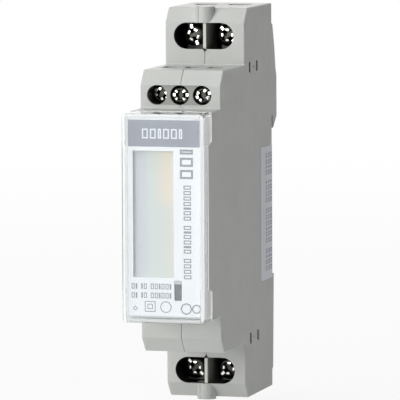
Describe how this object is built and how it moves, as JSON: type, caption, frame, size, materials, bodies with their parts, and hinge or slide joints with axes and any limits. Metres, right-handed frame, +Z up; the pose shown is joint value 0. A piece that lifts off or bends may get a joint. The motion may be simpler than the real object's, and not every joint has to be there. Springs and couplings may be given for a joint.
{
  "type": "din rail energy meter",
  "caption": "One-module rail-mounted energy meter with a clear cover over its display, screw terminals at both ends, small terminals in its shoulder and a sprung rail clip.",
  "frame": {"origin": "centre of the rail seat: on the plane that meets the rail's front, at mid-width and on the rail's centre line", "axes": "+Z up, towards the hook over the rail; +Y back towards the rail; +X to the right, along the rail"},
  "size_m": [0.0181, 0.0637, 0.0882],
  "materials": {
    "housing_shell": "fine spark-eroded moulded polycarbonate, light grey",
    "clear_cover": "clear moulded polycarbonate",
    "printed_plate": "white printed polycarbonate film",
    "display_glass": "liquid crystal cell, unlit",
    "frame_plastic": "moulded light grey polycarbonate",
    "reflector": "white reflector",
    "contact_rubber": "striped contact rubber",
    "smoked_lens": "smoked light pipe",
    "lamp": "red lamp",
    "circuit_board": "green board",
    "chip_black": "black moulded epoxy",
    "film_yellow": "yellow film capacitor",
    "varistor_blue": "blue epoxy coating",
    "can_metal": "plain can",
    "resistor_body": "cement coat",
    "bar_copper": "bare copper",
    "shunt_alloy": "manganese copper alloy",
    "divider_plastic": "natural white polyamide",
    "screw_metal": "nickel-plated steel",
    "cage_metal": "zinc-plated steel",
    "clamp_metal": "nickel-plated brass",
    "clip_plastic": "black glass-filled polyamide",
    "spring_steel": "spring steel strip",
    "sticker_film": "pale printed film"
  },
  "bodies": {
    "meter": {"aux_clamp_1": "clamp_metal", "aux_clamp_2": "clamp_metal", "aux_clamp_3": "clamp_metal", "board_link": "chip_black", "chip_resistors": "chip_black", "clip_spring": "spring_steel", "contact_strip_left": "contact_rubber", "contact_strip_right": "contact_rubber", "controller_chip": "chip_black", "crystal": "can_metal", "display_board": "circuit_board", "film_capacitor": "film_yellow", "front_cover": "clear_cover", "front_frame": "frame_plastic", "housing_left": "housing_shell", "housing_right": "housing_shell", "input_resistor": "resistor_body", "label_plate": "printed_plate", "lcd_glass": "display_glass", "lcd_reflector": "reflector", "live_bar_lower": "bar_copper", "live_bar_upper": "bar_copper", "main_board": "circuit_board", "memory_chip": "chip_black", "metering_chip": "chip_black", "neutral_bar": "bar_copper", "optocoupler": "chip_black", "pole_divider_lower": "divider_plastic", "pole_divider_upper": "divider_plastic", "pulse_led": "lamp", "pulse_window": "smoked_lens", "sense_pins": "clamp_metal", "shunt_strip": "shunt_alloy", "side_sticker": "sticker_film", "smoothing_capacitor": "can_metal", "terminal_board": "circuit_board", "varistor": "varistor_blue"},
    "screw_upper_left": {"main_screw_upper_left": "screw_metal"},
    "cage_upper_left": {"wire_cage_upper_left": "cage_metal"},
    "screw_upper_right": {"main_screw_upper_right": "screw_metal"},
    "cage_upper_right": {"wire_cage_upper_right": "cage_metal"},
    "screw_lower_left": {"main_screw_lower_left": "screw_metal"},
    "cage_lower_left": {"wire_cage_lower_left": "cage_metal"},
    "screw_lower_right": {"main_screw_lower_right": "screw_metal"},
    "cage_lower_right": {"wire_cage_lower_right": "cage_metal"},
    "pad_1": {"aux_pad_1": "clamp_metal"},
    "small_screw_1": {"aux_screw_1": "screw_metal"},
    "pad_2": {"aux_pad_2": "clamp_metal"},
    "small_screw_2": {"aux_screw_2": "screw_metal"},
    "pad_3": {"aux_pad_3": "clamp_metal"},
    "small_screw_3": {"aux_screw_3": "screw_metal"},
    "clip": {"rail_clip": "clip_plastic"}
  },
  "joints": [
    {"name": "screw_turn_upper_left", "type": "hinge", "parent": "meter", "child": "screw_upper_left", "pos_m": [-0.00385, -0.015, 0.037], "axis": [0, 1, 0], "range_deg": [0, 2160]},
    {"name": "cage_lift_upper_left", "type": "slide", "parent": "meter", "child": "cage_upper_left", "axis": [0, -1, 0], "range_m": [0, 0.0042]},
    {"name": "screw_turn_upper_right", "type": "hinge", "parent": "meter", "child": "screw_upper_right", "pos_m": [0.00385, -0.015, 0.037], "axis": [0, 1, 0], "range_deg": [0, 2160]},
    {"name": "cage_lift_upper_right", "type": "slide", "parent": "meter", "child": "cage_upper_right", "axis": [0, -1, 0], "range_m": [0, 0.0042]},
    {"name": "screw_turn_lower_left", "type": "hinge", "parent": "meter", "child": "screw_lower_left", "pos_m": [-0.00385, -0.015, -0.037], "axis": [0, 1, 0], "range_deg": [0, 2160]},
    {"name": "cage_lift_lower_left", "type": "slide", "parent": "meter", "child": "cage_lower_left", "axis": [0, -1, 0], "range_m": [0, 0.0042]},
    {"name": "screw_turn_lower_right", "type": "hinge", "parent": "meter", "child": "screw_lower_right", "pos_m": [0.00385, -0.015, -0.037], "axis": [0, 1, 0], "range_deg": [0, 2160]},
    {"name": "cage_lift_lower_right", "type": "slide", "parent": "meter", "child": "cage_lower_right", "axis": [0, -1, 0], "range_m": [0, 0.0042]},
    {"name": "pad_press_1", "type": "slide", "parent": "meter", "child": "pad_1", "axis": [0, 1, 0], "range_m": [-0.0029, 0.0013]},
    {"name": "small_screw_turn_1", "type": "hinge", "parent": "pad_1", "child": "small_screw_1", "pos_m": [-0.00537, -0.038, 0.0254], "axis": [0, 1, 0], "range_deg": [-2088, 936]},
    {"name": "pad_press_2", "type": "slide", "parent": "meter", "child": "pad_2", "axis": [0, 1, 0], "range_m": [0, 0.0042]},
    {"name": "small_screw_turn_2", "type": "hinge", "parent": "pad_2", "child": "small_screw_2", "pos_m": [-0.0003, -0.038, 0.0254], "axis": [0, 1, 0], "range_deg": [0, 3024]},
    {"name": "pad_press_3", "type": "slide", "parent": "meter", "child": "pad_3", "axis": [0, 1, 0], "range_m": [0, 0.0042]},
    {"name": "small_screw_turn_3", "type": "hinge", "parent": "pad_3", "child": "small_screw_3", "pos_m": [0.00477, -0.038, 0.0254], "axis": [0, 1, 0], "range_deg": [0, 3024]},
    {"name": "clip_release", "type": "slide", "parent": "meter", "child": "clip", "axis": [0, 0, -1], "range_m": [0, 0.003], "stiffness_N_per_m": 1500, "springref_m": -0.002, "deforming": ["clip_spring"]}
  ],
  "couplings": [
    {"joint": "screw_turn_upper_left", "follows": "cage_lift_upper_left", "rad_per_m": 8975.9},
    {"joint": "screw_turn_upper_right", "follows": "cage_lift_upper_right", "rad_per_m": 8975.9},
    {"joint": "screw_turn_lower_left", "follows": "cage_lift_lower_left", "rad_per_m": 8975.9},
    {"joint": "screw_turn_lower_right", "follows": "cage_lift_lower_right", "rad_per_m": 8975.9},
    {"joint": "small_screw_turn_1", "follows": "pad_press_1", "rad_per_m": 12566},
    {"joint": "small_screw_turn_2", "follows": "pad_press_2", "rad_per_m": 12566},
    {"joint": "small_screw_turn_3", "follows": "pad_press_3", "rad_per_m": 12566}
  ]
}
